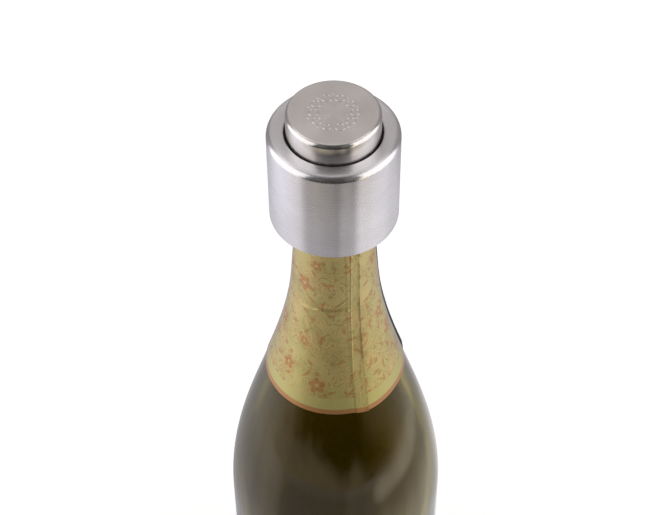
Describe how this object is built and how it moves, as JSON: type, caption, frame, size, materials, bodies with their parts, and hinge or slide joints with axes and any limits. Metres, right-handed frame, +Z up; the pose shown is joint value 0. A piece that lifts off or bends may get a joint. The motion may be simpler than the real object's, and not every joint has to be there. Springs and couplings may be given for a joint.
{
  "type": "sparkling wine bottle with stopper",
  "caption": "Olive glass sparkling-wine bottle with a gold neck foil, closed by a brushed steel push-button stopper that grips under the lip ring.",
  "frame": {"origin": "middle of the bottle's base, on the surface that it stands on", "axes": "+Z up along the bottle's axis, towards the stopper; -Y is the front with the foil's lapped seam, +X is to the right of the front"},
  "size_m": [0.0886, 0.0886, 0.326],
  "materials": {
    "glass_olive": "dark olive bottle glass",
    "foil_gold": "satin gold printed foil",
    "steel_brushed": "brushed stainless steel",
    "steel_wire": "bright drawn steel",
    "plastic_black": "matte black moulding",
    "plastic_grey": "matte grey moulding",
    "silicone_clear": "milky silicone",
    "rubber_black": "black rubber"
  },
  "bodies": {
    "bottle": {"bottle": "glass_olive", "neck_foil": "foil_gold", "foil_flap": "foil_gold"},
    "stopper": {"outer_shell": "steel_brushed", "guide_bush": "plastic_black", "chassis": "plastic_grey", "base_ring": "plastic_black", "mouth_seal": "silicone_clear", "seal_plate": "steel_brushed", "seal_screw": "steel_wire", "return_ring": "rubber_black", "latch_clip": "steel_wire", "return_spring": "steel_wire", "jaw_pin_1": "steel_wire", "jaw_pin_2": "steel_wire", "jaw_pin_3": "steel_wire"},
    "button": {"button_cap": "steel_brushed", "button_core": "plastic_black"},
    "jaw_back": {"jaw_1": "plastic_grey"},
    "jaw_left": {"jaw_2": "plastic_grey"},
    "jaw_right": {"jaw_3": "plastic_grey"}
  },
  "joints": [
    {"name": "stopper_lift", "type": "slide", "parent": "bottle", "child": "stopper", "axis": [0, 0, 1], "range_m": [0, 0.05]},
    {"name": "button_press", "type": "slide", "parent": "stopper", "child": "button", "axis": [0, 0, -1], "range_m": [0, 0.005], "stiffness_N_per_m": 600, "springref_m": -0.004, "deforming": ["return_spring"]},
    {"name": "jaw_back_swing", "type": "hinge", "parent": "stopper", "child": "jaw_back", "pos_m": [0, 0.019, 0.303], "axis": [-1, 0, 0], "range_deg": [0, 5.8]},
    {"name": "jaw_left_swing", "type": "hinge", "parent": "stopper", "child": "jaw_left", "pos_m": [-0.01645, -0.0095, 0.303], "axis": [0.5, -0.866, 0], "range_deg": [0, 5.8]},
    {"name": "jaw_right_swing", "type": "hinge", "parent": "stopper", "child": "jaw_right", "pos_m": [0.01645, -0.0095, 0.303], "axis": [0.5, 0.866, 0], "range_deg": [0, 5.8]}
  ],
  "couplings": [
    {"joint": "jaw_back_swing", "follows": "button_press", "rad_per_m": 19.897},
    {"joint": "jaw_left_swing", "follows": "button_press", "rad_per_m": 19.897},
    {"joint": "jaw_right_swing", "follows": "button_press", "rad_per_m": 19.897}
  ]
}
